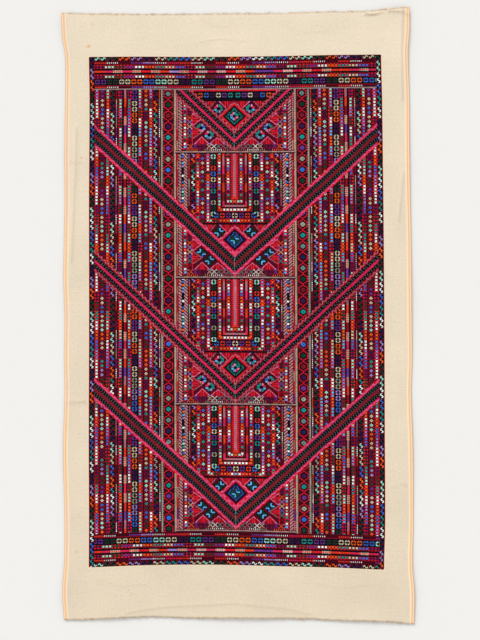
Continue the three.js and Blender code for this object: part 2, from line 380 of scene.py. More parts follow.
# how far the loose ends and the clumps that they stand in run from the middle, in metres
FRAY_RUN, CLUMP_RUN = 0.2085, 0.22
CLUMP_STEP = 5 * MM


def frayed_threads(side, outward):
    """Threads along a cut end. Ring k of a thread stands k steps outwards of its root, leans sideways
    with the square of k, and is round: middle plus radius times cosine and sine."""
    roots_x = np.arange(-FRAY_RUN, FRAY_RUN, FRAY_STEP)
    roots_x = roots_x + rng.uniform(-0.3, 0.3, len(roots_x)) * MM
    clump_places = np.arange(-CLUMP_RUN, CLUMP_RUN, CLUMP_STEP)
    clumps = np.interp(roots_x, clump_places, rng.uniform(0.1, 1.0, len(clump_places)))
    length = FRAY_LONGEST * rng.uniform(0.35, 1.0, len(roots_x)) * clumps + FRAY_SHORTEST
    lean = rng.normal(0, FRAY_LEAN, len(roots_x)) * MM
    root_y = between(CUT_ENDS, side, roots_x) - outward * FRAY_ROOT
    root_z = lift_at(roots_x, root_y, CREASES) + rng.uniform(0.4, 0.8, len(roots_x)) * CLOTH_THICKNESS
    step = np.linspace(0, 1, FRAY_RINGS)[None, :, None]
    turn = (2 * np.pi / FRAY_SIDES * np.arange(FRAY_SIDES))[None, None, :]
    radius = FRAY_THICKNESS / 2 * (1 - 0.7 * step)
    x = roots_x[:, None, None] + lean[:, None, None] * step ** 2 + radius * np.cos(outward * turn)
    y = root_y[:, None, None] + outward * length[:, None, None] * step + 0 * turn
    z = root_z[:, None, None] + radius * np.sin(outward * turn) - FRAY_SAG * step
    points = np.stack([x, y, np.maximum(z, 0.05 * MM)], -1)
    first = np.arange(len(roots_x))[:, None, None] * FRAY_RINGS * FRAY_SIDES
    ring = np.arange(FRAY_RINGS - 1)[None, :, None] * FRAY_SIDES
    side_now = np.arange(FRAY_SIDES)[None, None, :]
    side_next = (side_now + 1) % FRAY_SIDES
    low, high = first + ring, first + ring + FRAY_SIDES
    quads = np.stack([low + side_now, high + side_now, high + side_next, low + side_next], -1)
    return points.reshape(-1, 3), quads.reshape(-1, 4)


bottom_points, bottom_quads = frayed_threads(LOW_SIDE, -1)
top_points, top_quads = frayed_threads(HIGH_SIDE, 1)
fray = new_piece("cut_end_threads", np.concatenate([bottom_points, top_points]),
                 np.concatenate([bottom_quads, top_quads + len(bottom_points)]))
print("frayed threads:", len(fray.data.polygons) // ((FRAY_RINGS - 1) * FRAY_SIDES))

# %% [markdown]
# ## Threads
# Counted work is drawn on squared paper first: one square for one stitch. Here the chart is an array
# of thread numbers, 432 stitches across and 795 down. A letter stands for each thread, so that a
# repeat can be typed out and read by eye. Most of the work is crimson, maroon and black.

# %% A letter for each thread, and its colour on a screen
THREADS = {
    "k": (16, 10, 18),     # black
    "m": (86, 6, 26),      # maroon, the ground
    "M": (50, 6, 20),      # dark maroon
    "r": (150, 10, 34),    # dark red
    "R": (222, 28, 46),    # scarlet
    "o": (240, 96, 26),    # orange
    "O": (226, 56, 28),    # vermilion
    "p": (216, 38, 84),    # crimson
    "P": (234, 122, 150),  # pink
    "q": (178, 104, 120),  # old rose
    "l": (160, 136, 204),  # lilac
    "v": (108, 54, 146),   # violet
    "u": (60, 22, 76),     # plum
    "n": (34, 34, 80),     # navy
    "b": (54, 108, 206),   # blue
    "s": (92, 178, 232),   # sky blue
    "t": (26, 146, 142),   # teal
    "g": (22, 60, 46),     # bottle green
    "j": (156, 226, 204),  # mint
    "w": (234, 246, 242),  # white
    "c": (208, 196, 164),  # cream
    "y": (152, 156, 136),  # grey green
    "B": (126, 28, 38),    # brick
    "a": (200, 148, 128),  # buff
    "e": (104, 130, 130),  # slate
    "h": (150, 120, 120),  # ash
    "z": (208, 96, 146),   # magenta
}
GROUND, MOTIF, MATE = 254, 253, 252
CODE = np.full(128, 255, np.uint8)
for number, letter in enumerate(THREADS):
    CODE[ord(letter)] = number
CODE[ord(".")], CODE[ord("x")], CODE[ord("X")] = GROUND, MOTIF, MATE


def codes(lines):
    """An array of thread numbers from lines of letters: each letter's place in CODE."""
    return CODE[np.array([[ord(letter) for letter in line] for line in lines])]


print("threads:", len(THREADS))

# %% [markdown]
# ## Small repeats
# The narrow bands are each a repeat of a few stitches: dots, diamonds, a slanting S, or a rosette of
# eight petals. Only the motif changes colour from one repeat to the next, so it is typed as x. An X
# beside it is a mate that changes more slowly, and a full stop leaves the ground as it is.

# %% The repeats, typed out
MOTIFS = {
    "dot": ("XXr.rXX",
            "rmxxxmr",
            "m.xxx.m",
            "rmxxxmr",
            "XXr.rXX"),
    "dark dot": ("kkkkk",
                 "kxxxk",
                 "kxxxk",
                 "kxxxk",
                 "kkkkk"),
    "ess": ("r..m..r",
            "..xxkk.",
            ".xxkkkk",
            ".xxkkkk",
            "kkxxxkk",
            "kkkkxx.",
            "kkkkxx.",
            ".kkxx..",
            "r..m..r"),
    "diamond": (".......",
                "...x...",
                "..xxx..",
                ".xxMxx.",
                "..xxx..",
                "...x...",
                "R.....R"),
    "rosette": ("kkkkkkkkk",
                "kkxxkxxkk",
                "kxxkkkxxk",
                "kxxkkkxxk",
                "kkkkrkkkk",
                "kxxkkkxxk",
                "kxxkkkxxk",
                "kkxxkxxkk",
                "kkkkkkkkk"),
}
MATES = "RrORBrR"
print("repeats:", {name: (len(lines), len(lines[0])) for name, lines in MOTIFS.items()})

# %% [markdown]
# ## Working a band
# A band is worked from two whole-array counts: how many stitches each cell is across from the band's
# middle line, and how many along it. The remainder of the count along, divided by the repeat's
# length, picks the row of the repeat, and the quotient picks the colour. So a band can run down, run
# sideways or turn a corner, and no loop over single stitches is needed.

# %% Plain fills, repeats, stripes, dashes, ropes and crosses
def within(value, low, high):
    """True from low to high, both ends included."""
    return (value >= low) & (value <= high)


def fill(chart, where, letter):
    """One thread wherever the mask is true."""
    chart[where] = CODE[ord(letter)]


def put(chart, where, numbers):
    """Each masked cell takes its own thread number."""
    chart[where] = numbers[where]


def in_turn(cycle, step):
    """The cycle's letters taken in turn: the one whose place is step modulo the cycle's length."""
    letters = CODE[[ord(letter) for letter in cycle]]
    return letters[step % len(letters)]


def paint(chart, where, across, along, motif, cycle, start=0):
    """A repeat along a band: the typed cell (along modulo the repeat's length, across plus half its
    width). The motif's colour changes with each repeat, and its mates' with each third one."""
    pattern = codes(MOTIFS[motif])
    pitch, width = pattern.shape
    column = across + width // 2
    repeat = along // pitch
    number = pattern[along % pitch, np.clip(column, 0, width - 1)]
    number = np.where(number == MOTIF, in_turn(cycle, repeat + start), number)
    number = np.where(number == MATE, in_turn(MATES, repeat // 3 + start), number)
    put(chart, where & (column >= 0) & (column < width) & (number != GROUND), number)


def paint_stripe(chart, where, across, along, cycle, start=0):
    """A stripe three stitches wide between black lines, in blocks of 14 stitches. A block is plain,
    except that P is scarlet and c is pink, both with cream checks: two stitches in three along both
    sides of the stripe."""
    block = in_turn(cycle, along // 14 + start)
    scarlet, pink = block == CODE[ord("P")], block == CODE[ord("c")]
    plain = np.where(scarlet, CODE[ord("R")], np.where(pink, CODE[ord("P")], block))
    checked = scarlet | pink
    a = np.abs(across)
    put(chart, where & (a <= 1), plain)
    fill(chart, where & (a == 1) & checked & (along % 3 > 0), "c")
    fill(chart, where & within(a, 2, 3), "k")
    fill(chart, where & (a == 2) & checked & (along % 3 == 1), "e")


def paint_band(chart, where, across, along, motif, cycle):
    """One band: the stripe by its own rule, and any other motif as a typed repeat."""
    if motif == "stripe":
        paint_stripe(chart, where, across, along, cycle)
    else:
        paint(chart, where, across, along, motif, cycle)


def paint_dashes(chart, where, along, length, cycle, start=0):
    """Dashes of two stitches in three, whose colour changes after each length of stitches."""
    put(chart, where & (along % 3 > 0), in_turn(cycle, along // length + start))


def paint_rope(chart, where, across, along):
    """Five stitches wide, with buff and rose slants: the remainder of (along minus across) by 5."""
    inside = where & (np.abs(across) <= 2)
    lean = (along - across) % 5
    fill(chart, inside, "u")
    fill(chart, inside & (lean < 2), "a")
    fill(chart, inside & (lean == 2), "q")


def paint_crosses(chart, where, across, along, cycle, start=0):
    """Crosses seven stitches apart: cells as far across as they are along from a cross's middle."""
    a, v = np.abs(across), along % 7 - 3
    fill(chart, where & (a <= 3), "m")
    put(chart, where & (a <= 3) & (a == np.abs(v)), in_turn(cycle, along // 7 + start))
    fill(chart, where & (a == 3) & (v == 0), "R")


trial = np.full((7, 7), CODE[ord("m")], np.uint8)
trial_rows, trial_cols = np.indices(trial.shape)
paint(trial, trial_rows >= 0, trial_cols - 3, trial_rows, "diamond", "w")
print("a diamond on its ground:")
print("\n".join("".join(list(THREADS)[number] for number in line) for line in trial))

# %% [markdown]
# ## The side bands
# Left of the middle panel, and mirrored to the right of it, fourteen narrow bands run the whole way
# down. Each has a repeat of its own and its own order of colours. The needleworker let the colours
# run out of step between the bands, so the orders here differ in length. Then come a beaded line and
# a column of hexagons.

# %% Bands of the left half
HALF_COLUMNS = 216
CHART_COLUMNS = 2 * HALF_COLUMNS
CHART_ROWS = 795
AXIS = HALF_COLUMNS - 0.5
# rows of the two end borders, the row that the bands between them start from, columns of S shapes
# along the edge, and the column where the middle units start
BORDER_ROWS, FOOT_BORDER_ROWS = 50, 52
FIRST_ROW = 51
EDGE_COLUMNS = 8
MIDDLE_COLUMN = 129

# middle column, motif, order of colours
SIDE = [
    (11, "dot", "lllwwwwwwuuugggtttwwwooobbb"),
    (19, "diamond", "vvccbbccjjooccuuttllgg"),
    (27, "dot", "jjjooowwwlllbbbuuugggttt"),
    (34, "ess", "ggnnjjccbbootwwllgg"),
    (46, "dot", "uuujjjlllgggwwwtttooocccbbb"),
    (53, "stripe", "qOrPvpPqOPrPpPOv"),
    (59, "dot", "uuutttbbblllwwwgggjjjooosss"),
    (67, "rosette", "vvccoouuccyyllbbggoo"),
    (75, "dot", "jjjlllgggwwwsssooosssuuuccc"),
    (84, "diamond", "oocctuujjlcctgbbggoo"),
    (91, "dot", "lllgggwwwooossslllccc"),
    (98, "ess", "nnoottccllyybbjjgg"),
]
SIDE_DASHES = [(40, "BclyvwOM"), (104, "oywlwBMc")]
DARK_LINES = [15, 24, 42, 49, 56, 63, 72, 80, 88]
HEXAGONS = "egButvybgBuvyten"
HEXAGON_PITCH = 17
FIRST_HEXAGON_ROW = 50


def hexagon_column(chart, where, rows, cols):
    """Red hexagon rings, each round a dark one with an eight-sided flower. The distance that makes a
    hexagon is the larger of the way across over 5.8 and (down + 0.7 across) over 7.8; the one that
    makes an octagon is the largest of across, down and 0.72 (across + down)."""
    down = (rows - FIRST_HEXAGON_ROW) // HEXAGON_PITCH
    v = np.abs((rows - FIRST_HEXAGON_ROW) % HEXAGON_PITCH - 8)
    u = np.abs(cols - 117)
    hexagon = np.maximum(u / 5.8, (v + 0.7 * u) / 7.8)
    octagon = np.maximum(np.maximum(u, v), 0.72 * (u + v))
    fill(chart, where, "m")
    fill(chart, where & (hexagon > 1.22) & (hexagon < 1.42), "k")
    fill(chart, where & (hexagon > 1.6), "k")
    fill(chart, where & (hexagon <= 1.06) & (hexagon > 0.88), "R")
    fill(chart, where & (hexagon <= 0.88), "M")
    fill(chart, where & (octagon <= 4.9), "k")
    put(chart, where & (octagon <= 3.1) & (u + v > 0), in_turn(HEXAGONS, down))


def side_bands(chart, middle, rows, cols, hand):
    """All bands left of the middle panel. Hand is -1 where the S has to lean the other way."""
    side = middle & (cols >= EDGE_COLUMNS) & (cols < 109)
    down = rows - FIRST_ROW
    for column, motif, cycle in SIDE:
        paint_band(chart, side, (cols - column) * (hand if motif == "ess" else 1), down, motif, cycle)
    for column, cycle in SIDE_DASHES:
        paint_dashes(chart, side & (cols == column), down, 15, cycle)
        fill(chart, side & (np.abs(cols - column) == 2), "M")
    fill(chart, side & np.isin(cols, DARK_LINES), "k")
    beads = middle & within(cols, 107, 109)
    fill(chart, beads, "y")
    fill(chart, beads & (rows % 3 == 0), "h")
    fill(chart, beads & (cols == 109) & (rows % 4 < 2), "k")
    fill(chart, middle & (cols == 106), "M")
    hexagon_column(chart, middle & within(cols, 110, 124), rows, cols)
    fill(chart, middle & (cols == 125), "M")
    fill(chart, middle & (cols == 126) & (rows % 3 > 0), "y")
    fill(chart, middle & within(cols, 127, 128), "a")
    fill(chart, middle & (cols == 127) & (rows % 9 < 5), "y")


print("bands on each side:", len(SIDE) + len(SIDE_DASHES))

# %% [markdown]
# ## The end borders
# Both ends of the field have the same border: the side bands' repeats, turned to run across. It
# starts with a row of S shapes at the very edge and closes with a pale line over the side bands.

# %% Bands across each end
BORDER_ESSES = "jjggoollnnccttbbccjjggoollwwttbbcc"
BORDER_DOTS = "uuujjjgggvvvwwwoootttcccbbb"
BORDER_STRIPE = "OpPpPRPOlPpcpcRPOvvpcpPRPO"
BORDER_ROSETTES = "vvggccoobbjjccuutt"
BORDER_DASHES = "OwMvlwpOwM"


def end_borders(chart, rows, cols, mirrored):
    """Both borders. r counts rows from the end of the field inwards, and along runs on over the middle
    line into the mirrored half, so that the colours don't repeat there."""
    for top in (True, False):
        where = (rows < BORDER_ROWS) if top else (rows >= CHART_ROWS - FOOT_BORDER_ROWS)
        r = rows if top else CHART_ROWS - 1 - rows
        along = (CHART_COLUMNS - 1 - cols if mirrored else cols) - EDGE_COLUMNS + (0 if top else 4)
        inside = where & (cols >= EDGE_COLUMNS)
        fill(chart, where, "m")
        fill(chart, where & (r == 7), "M")
        paint(chart, inside, 3 - r, along, "ess", BORDER_ESSES)
        dash = in_turn(BORDER_DASHES, along // 18)
        worked = inside & np.where(dash == CODE[ord("w")], along % 3 == 1, along % 3 > 0)
        put(chart, worked & within(r, 9, 10), dash)
        paint(chart, inside, r - 16, along, "dot", BORDER_DOTS)
        fill(chart, inside & within(r, 19, 20), "k")
        paint_stripe(chart, inside, r - 23, along, BORDER_STRIPE)
        fill(chart, inside & within(r, 26, 27), "k")
        paint(chart, inside, r - 31, along, "dot", BORDER_DOTS)
        fill(chart, inside & (np.abs(r - 39) <= 5), "k")
        paint(chart, inside, r - 39, along, "rosette", BORDER_ROSETTES)
        fill(chart, inside & (r == 45), "r")
        put(chart, worked & within(r, 47, 48), dash)
        fill(chart, where & (r == 49), "M")
    fill(chart, within(rows, BORDER_ROWS, FIRST_ROW) & (cols >= EDGE_COLUMNS), "h")


print("rows of the end borders:", BORDER_ROWS, "and", FOOT_BORDER_ROWS)

# %% [markdown]
# ## The chevrons
# Four broad chevrons rise to the middle line, and three of them run out over the side bands. Their
# colours alternate. Each one is a function of t, how many rows a cell is below the chevron's middle
# line, so the whole slanting band is drawn with level rules: black inside, and a bright edge on each
# side, which is wavy on the brown chevrons and stepped on the pink ones.

# %% Where each chevron and its unit are, and how it is coloured
# row of the top of the middle line, rows it falls for each column, colour, row where its unit closes
CHEVRONS = [
    (132, 1.0, "pink", 149), (325, 0.975, "brown", 345),
    (525, 1.0, "pink", 543), (721, 0.985, "brown", 741),
]
CHEVRON_HALF = 17


def chevron_edge(apex, slope, cols):
    """The row of the chevron's middle line in each column: apex minus slope times the columns left to
    the middle of the cloth. It is lowest at the middle in the chart's rows, which count downwards."""
    return apex - slope * (AXIS - cols)


def chevron(chart, zone, t, cols, kind):
    """One chevron. A brown one has edges up to 14.5 plus 1.6 times a sine of the column; the pink
    one's edges are a stair of five stitches, from the remainder of the column by 5."""
    a = np.abs(t)
    zone = zone & (a <= CHEVRON_HALF)
    fill(chart, zone, "k")
    if kind == "brown":
        fill(chart, zone & (a <= 3), "B")
        fill(chart, zone & (a == 3) & (cols % 2 == 0), "M")
        fill(chart, zone & ((a == 5) | (a == 9)) & ((cols + (a > 6)) % 3 == 0), "e")
        fill(chart, zone & (a == 7) & (cols % 3 == 2), "g")
        wave = 14.5 + 1.6 * np.sin(2 * np.pi * cols / 7.5)
        edge = zone & (a >= 12)
        fill(chart, edge & (a <= wave), "p")
        fill(chart, edge & (a > wave), "R")
        fill(chart, edge & (np.abs(a - wave) < 0.9), "z")
    else:
        fill(chart, zone & (a <= 2), "p")
        fill(chart, zone & ((a == 5) | (a == 8)) & ((cols + (a > 6)) % 3 == 0), "e")
        edge = zone & (a >= 11)
        fill(chart, edge, "r")
        f = cols % 5
        stair_under = (t == 17 - f) | ((f == 0) & (t >= 12))
        stair_over = (-t == 13 + f) | ((f == 4) & (-t >= 12))
        stair = np.where(t > 0, stair_under, stair_over)
        fill(chart, edge & stair, "q")
        fill(chart, edge & (a >= 16) & (f < 2) & ~stair, "M")
        fill(chart, edge & within(a, 14, 15) & within(f, 2, 3) & ~stair, "R")


print("chevrons:", [kind for apex, slope, kind, closing in CHEVRONS])

# %% [markdown]
# ## Fans and windmills
# Two motifs fill the triangles beside each chevron. A fan is a triangle of red stripes that point to
# its tip, with a bright band along each side. A windmill is eight petals in four colours.

# %% The two larger motifs
# ground, petals and thickness of the windmills: above the chevron, in the lozenge, and the outer one
# of the pair below it
TEAL_WINDMILLS = (("M", ("Pp", "ts", "tt", "lt"), 3), ("k", ("Pl", "ss", "tt", "pP"), 3),
                  ("M", ("tt", "Pp", "lb", "Ps"), 3))
BLUE_WINDMILLS = (("k", ("gg", "ss", "ss", "gg"), 2), ("g", ("gg", "ss", "bs", "gg"), 2),
                  ("k", ("ss", "gg", "gg", "bs"), 2))


def fan(chart, where, u, v, half, tall, banded=True):
    """A fan that is half times two stitches wide at v = 0 and ends at v = tall. At each v its side is
    at (tall - v) half / tall, with a broad pink band along it, or a thin grey one."""
    reach = (tall - v) * half / tall
    inside = where & within(v, 0, tall) & (np.abs(u) <= reach)
    fill(chart, inside, "r")
    fill(chart, inside & within(np.abs(u), 1, 2), "R")
    fill(chart, inside & (u == 0), "k")
    fill(chart, inside & (np.abs(np.abs(u) - reach / 2) < 0.5), "B")
    past = np.abs(u) - reach
    side = where & within(v, 0, tall + 1) & (past <= 0.6)
    if banded:
        fill(chart, side & (past > -1.4), "p")
        fill(chart, side & (past > -0.4), "P")
        fill(chart, side & (v <= 1) & (past > -1.4), "l")
    else:
        fill(chart, side & (past > -0.5), "q")


def windmill(chart, where, u, v, ground, tones, plump):
    """Eight petals, two in each quarter: one along each of the quarter's axes, with the corner
    between them cut away. Tones are pairs for the upper left, lower left, upper right and lower
    right quarters, the upright petal first. Plump says how many stitches thick a petal is."""
    au, av = np.abs(u), np.abs(v)
    near, far = np.minimum(au, av), np.maximum(au, av)
    fill(chart, where & (au + av <= 9), ground)
    petal = where & within(near, 1, plump) & within(far, plump, 6) & (near + far <= 8)
    petal = petal & ((far > near) | (plump == 2))
    quarter = (u >= 0) * 2 + (v >= 0)
    for number, pair in enumerate(tones):
        fill(chart, petal & (quarter == number) & (av > au), pair[0])
        fill(chart, petal & (quarter == number) & (av <= au), pair[1])
    fill(chart, where & (au + av <= plump), "k")


print("windmills in a unit:", len(TEAL_WINDMILLS))

# %% [markdown]
# ## The middle units
# The middle of the cloth is four units, one over another. Each ends in a chevron. Above the chevron
# of all but the first stands a tall panel with bands nested in it: they run down its left side and
# turn along its foot. Between the panel and the chevron are a row of fans and windmills and a lozenge
# on the middle line. Below the chevron are a corner of bands, two windmills and four fans.

# %% Nested panel
NEST_EDGE = 172
# how many rows the panel's foot and the lozenge's middle are over the chevron's middle line
PANEL_FOOT, LOZENGE = 65, 39
# way in from the edge, motif, order of colours down the side and along the foot from the middle out
NESTED = [
    (4, "dot", "llwwwgoossjvwwbl", "swoooggj"),
    (12, "rosette", "jgObcvtuyg", "cvOb"),
    (21, "dot", "oowwlbgwwlyultjj", "wwwwooo"),
    (27, "stripe", "qpBOBpqPO", "qOO"),
    (34, "dot", "gwwsboowwllut", "ojw"),
]


def nested_panel(chart, unit, rows, cols, top, apex, hand):
    """The bands from the panel's left side inwards. A cell's band is its distance from the nearer of
    the left side and the foot. Down the side a band counts rows, and along the foot it counts
    columns outwards from the middle line, where half a repeat lies."""
    above = unit & (rows < apex + 40)
    down = rows - top
    foot = apex - PANEL_FOOT
    fill(chart, above & within(cols, 130, 131), "r")
    paint_dashes(chart, above & (cols == 131), down, 14, "RapRap")
    paint_rope(chart, above, cols - 135, rows)
    fill(chart, above & (np.abs(cols - 139) <= 2), "k")
    paint(chart, above, cols - 139, down, "dark dot", "wboslkkwkboljt")
    paint_rope(chart, above, cols - 143, rows)
    fill(chart, above & (cols == 146), "M")
    paint_dashes(chart, above & (cols == 148), down, 14, "loOjyqM")
    paint(chart, above, (cols - 154) * hand, down, "ess", "logtjwtun")
    paint(chart, above, cols - 161, down, "dot", "ooutylwwgooowwssl")
    paint(chart, above, cols - 168, down, "diamond", "gbcOjvtutgbcOjv")

    nest = unit & (rows < foot) & (cols >= NEST_EDGE)
    inward = np.minimum(cols - NEST_EDGE, foot - rows)
    turned = cols - NEST_EDGE > foot - rows
    fill(chart, nest, "m")
    fill(chart, nest & (inward <= 0), "k")
    fill(chart, nest & (np.abs(inward - 12) <= 5), "k")
    for way_in, motif, side_cycle, foot_cycle in NESTED:
        for where, along, cycle in ((nest & ~turned, down - 7, side_cycle),
                                    (nest & turned, HALF_COLUMNS - 1 - cols, foot_cycle)):
            half = 0 if motif == "stripe" else len(MOTIFS[motif]) // 2
            paint_band(chart, where, inward - way_in, along + half, motif, cycle)
    slats = np.where(turned, cols, rows) % 3 == 0
    fill(chart, nest & within(inward, 37, 38), "B")
    fill(chart, nest & within(inward, 37, 38) & slats, "k")
    fill(chart, nest & within(inward, 39, 41), "R")
    fill(chart, nest & within(inward, 39, 40) & slats, "m")
    fill(chart, nest & within(inward, 38, 41) & turned & (cols > 210), "O")
    fill(chart, nest & (inward >= 42), "q")


print("bands nested in each panel:", len(NESTED))


# %% [markdown]
# ## Beside the chevrons
# The triangles that a chevron leaves above and below itself are cut out of their unit by the chevron's
# own formula, so their motifs can simply be laid down whole: what lies past the slanting side is
# covered by the chevron, which is worked later.

# %% Above and below each chevron
def above_chevron(chart, where, rows, cols, apex, blue, mirrored):
    """The triangle over the chevron: two fans, a windmill, and the lozenge, whose rings are equal sums
    of the ways across and down from its middle. The lozenge's own windmill isn't mirrored, so the
    mirrored half works its right-hand quarters."""
    windmills = BLUE_WINDMILLS if blue else TEAL_WINDMILLS
    fill(chart, where, "m")
    fill(chart, where & (rows <= apex - 63), "k")
    fan(chart, where, cols - 179, rows - (apex - 62), 8, 9, banded=False)
    fan(chart, where, cols - 204, rows - (apex - 62), 11, 11)
    windmill(chart, where, cols - 192, rows - (apex - 51), *windmills[0])
    d = np.abs(cols - AXIS) + np.abs(rows - (apex - LOZENGE))
    fill(chart, where & (d <= 25) & (d > 17), "r")
    wave = 22 + np.round(np.sin(2 * np.pi * cols / 8))
    fill(chart, where & (np.abs(d - wave) <= 1.2), "P" if blue else "q")
    fill(chart, where & (np.abs(d - 19.5) <= 1), "p" if blue else "R")
    fill(chart, where & (d <= 17), "k")
    fill(chart, where & (d <= 14) & (d >= 8) & ((rows + cols) % 3 > 0), "n" if blue else "g")
    fill(chart, where & (d <= 13) & (d >= 10) & ((rows // 2 + cols) % 3 == 0), "b" if blue else "t")
    fill(chart, where & (d <= 8), "k")
    ground, tones, plump = windmills[1]
    tones = tones[2:] + tones[:2] if mirrored else tones
    windmill(chart, where, cols - HALF_COLUMNS, rows - (apex - LOZENGE), ground, tones, plump)
    fill(chart, where & (cols == HALF_COLUMNS - 1) & (rows > apex - 18), "l" if blue else "t")


def below_chevron(chart, where, rows, cols, closing, blue, start):
    """The triangle under the chevron: bands down its left side, two windmills between four fans, and a
    row of crosses over its foot."""
    windmills = BLUE_WINDMILLS if blue else TEAL_WINDMILLS
    down = rows - (closing - 120)
    fill(chart, where, "r")
    fill(chart, where & (cols <= 132), "m")
    paint_dashes(chart, where & within(cols, 130, 131), down, 17, "OvPaqRa", start)
    paint_rope(chart, where, cols - 135, rows)
    fill(chart, where & within(cols, 138, 139), "k")
    fill(chart, where & within(cols, 140, 145), "r")
    paint(chart, where, cols - 142, down, "dot", "twsowywtgwsn")
    inner = where & (cols >= 146)
    fill(chart, inner, "r")
    paint_crosses(chart, inner & (cols <= 153), cols - 149, down, "nolcbtrm")
    fill(chart, inner & (cols == 153), "R")
    field = inner & (cols >= 154)
    fill(chart, field, "m")
    windmill(chart, field, cols - 166, rows - (closing - 38), *windmills[2])
    windmill(chart, field, cols - 178, rows - (closing - 27), *windmills[0])
    fan(chart, field, rows - (closing - 51), cols - 153, 10, 12)
    fan(chart, field, rows - (closing - 31), cols - 153, 10, 14, banded=False)
    fan(chart, field, cols - 167, closing - 13 - rows, 11, 11)
    fan(chart, field, cols - 190, closing - 13 - rows, 11, 10)
    foot = where & (rows > closing - 13) & (cols >= 144)
    fill(chart, foot, "m")
    paint_crosses(chart, foot & (rows <= closing - 5), rows - (closing - 9), cols - 140, "lovuncwtqty")
    dots = foot & within(rows, closing - 4, closing - 3) & (cols % 3 == 1)
    put(chart, dots, in_turn("oonywwqq", (cols - 144) // 9))


print("a lozenge's middle is", LOZENGE, "rows over its chevron's middle line")

# %% [markdown]
# ## The whole chart
# The left half is worked first, from the back to the front: side bands, middle units, chevrons over
# both, closing lines, borders, and the S column along the edge. The right half is the same work
# mirrored, apart from the borders, which run on, and the edge, whose colours are out of step. A thin
# slate seam lies on the middle line over each chevron.

# %% The two halves, side by side
EDGE_ESSES = "nnllooggjjwwbbttww"
# how many repeats the mirrored half's edge is ahead of the other
EDGE_SHIFT = 7


def half_chart(start, mirrored):
    """One half, seen as a left half. A mirrored half has its S shapes turned over, so that they lean
    the same way once it is flipped. Start shifts the colours of its edge."""
    rows, cols = np.indices((CHART_ROWS, HALF_COLUMNS))
    chart = np.full((CHART_ROWS, HALF_COLUMNS), CODE[ord("m")], np.uint8)
    middle = within(rows, BORDER_ROWS, CHART_ROWS - FOOT_BORDER_ROWS - 1)
    hand = -1 if mirrored else 1
    side_bands(chart, middle, rows, cols, hand)
    top = FIRST_ROW
    for number, (apex, slope, kind, closing) in enumerate(CHEVRONS):
        blue = number % 2 == 1
        unit = (cols >= MIDDLE_COLUMN) & (rows > top) & (rows <= closing)
        over = unit & (rows < top + 18)
        fill(chart, unit, "m")
        if number > 0:
            nested_panel(chart, unit, rows, cols, top, apex, hand)
        else:
            fill(chart, over & (rows <= top + 2), "R")
            fill(chart, over & (rows >= top + 4), "k")
            paint(chart, over, rows - (top + 9), cols - 161, "rosette", "obucvtcwgo")
        first_row = apex - PANEL_FOOT if number > 0 else top + 15
        above_chevron(chart, unit & (rows >= first_row), rows, cols, apex, blue, mirrored)
        below = unit & (rows - chevron_edge(apex, slope, cols) > CHEVRON_HALF - 1)
        below_chevron(chart, below, rows, cols, closing, blue, number)
        top = closing
    for number, (apex, slope, kind, closing) in enumerate(CHEVRONS):
        zone = middle & (cols >= (MIDDLE_COLUMN if number == 0 else EDGE_COLUMNS)) & (rows <= closing)
        if number == 0:
            zone = zone & (rows > FIRST_ROW)
        chevron(chart, zone, rows - np.round(chevron_edge(apex, slope, cols)).astype(int), cols, kind)
    for apex, slope, kind, closing in CHEVRONS:
        line = cols >= MIDDLE_COLUMN - 1
        fill(chart, line & (np.abs(rows - closing) <= 2), "M")
        fill(chart, line & within(rows, closing - 1, closing), "h")
        fill(chart, line & (rows == closing - 1) & (cols % 14 < 8), "a")
        if not mirrored:
            seam = (cols == HALF_COLUMNS - 1) & (rows > apex - 16) & (rows < closing - 2)
            fill(chart, seam & (rows % 4 > 0), "e")
    end_borders(chart, rows, cols, mirrored)
    edge = cols < EDGE_COLUMNS
    fill(chart, edge, "M")
    fill(chart, cols == 0, "r")
    paint(chart, edge, (cols - 4) * hand, rows, "ess", EDGE_ESSES, start)
    return chart


chart = np.concatenate([half_chart(0, False), half_chart(EDGE_SHIFT, True)[:, ::-1]], axis=1)
print("chart:", chart.shape[1], "by", chart.shape[0], "stitches,", len(np.unique(chart)), "threads in use")

# %% [markdown]
# ## The stitches as a relief
# A stitch is a slanting bundle of thread, so neighbouring corners of the chart's cells stand a tenth
# of a millimetre higher and lower by turns. Each cell is then a tiny saddle that catches the light
# along its slant. Motif threads are thicker than the ground's and stand a little prouder. The whole
# field has 343,440 stitches, so it is worked in four strips to keep each mesh light.

# %% Where the chart's lines lie on the cloth
FIELD_TOP = 2.15 * MM
FIELD_RIM = 1.0 * MM
SADDLE = 0.09 * MM
MOTIF_RISE = 0.12 * MM
AXIS_AT_TOP = (274 * MM, -4.6 * MM)
AXIS_AT_BOTTOM = (-261 * MM, -2.3 * MM)


def field_points(line_columns, line_rows):
    """Places of the chart's lines. Each half is stretched from the field's edge to the middle line,
    which drifts to the right on its way down, and the rows are spread evenly from end to end."""
    column, row = np.meshgrid(line_columns.astype(float), line_rows.astype(float))
    down = row / CHART_ROWS
    mean_left, mean_right = FIELD_SIDES[:, LOW_SIDE].mean(), FIELD_SIDES[:, HIGH_SIDE].mean()
    about_x = mean_left + (mean_right - mean_left) * column / CHART_COLUMNS
    top, bottom = between(FIELD_ENDS, HIGH_SIDE, about_x), between(FIELD_ENDS, LOW_SIDE, about_x)
    y = top + (bottom - top) * down
    left, right = between(FIELD_SIDES, LOW_SIDE, y), between(FIELD_SIDES, HIGH_SIDE, y)
    drift = (y - AXIS_AT_TOP[0]) / (AXIS_AT_BOTTOM[0] - AXIS_AT_TOP[0])
    axis = AXIS_AT_TOP[1] + (AXIS_AT_BOTTOM[1] - AXIS_AT_TOP[1]) * drift
    share = column / HALF_COLUMNS
    x = np.where(share <= 1, left + (axis - left) * share, axis + (right - axis) * (share - 1))
    return x, y


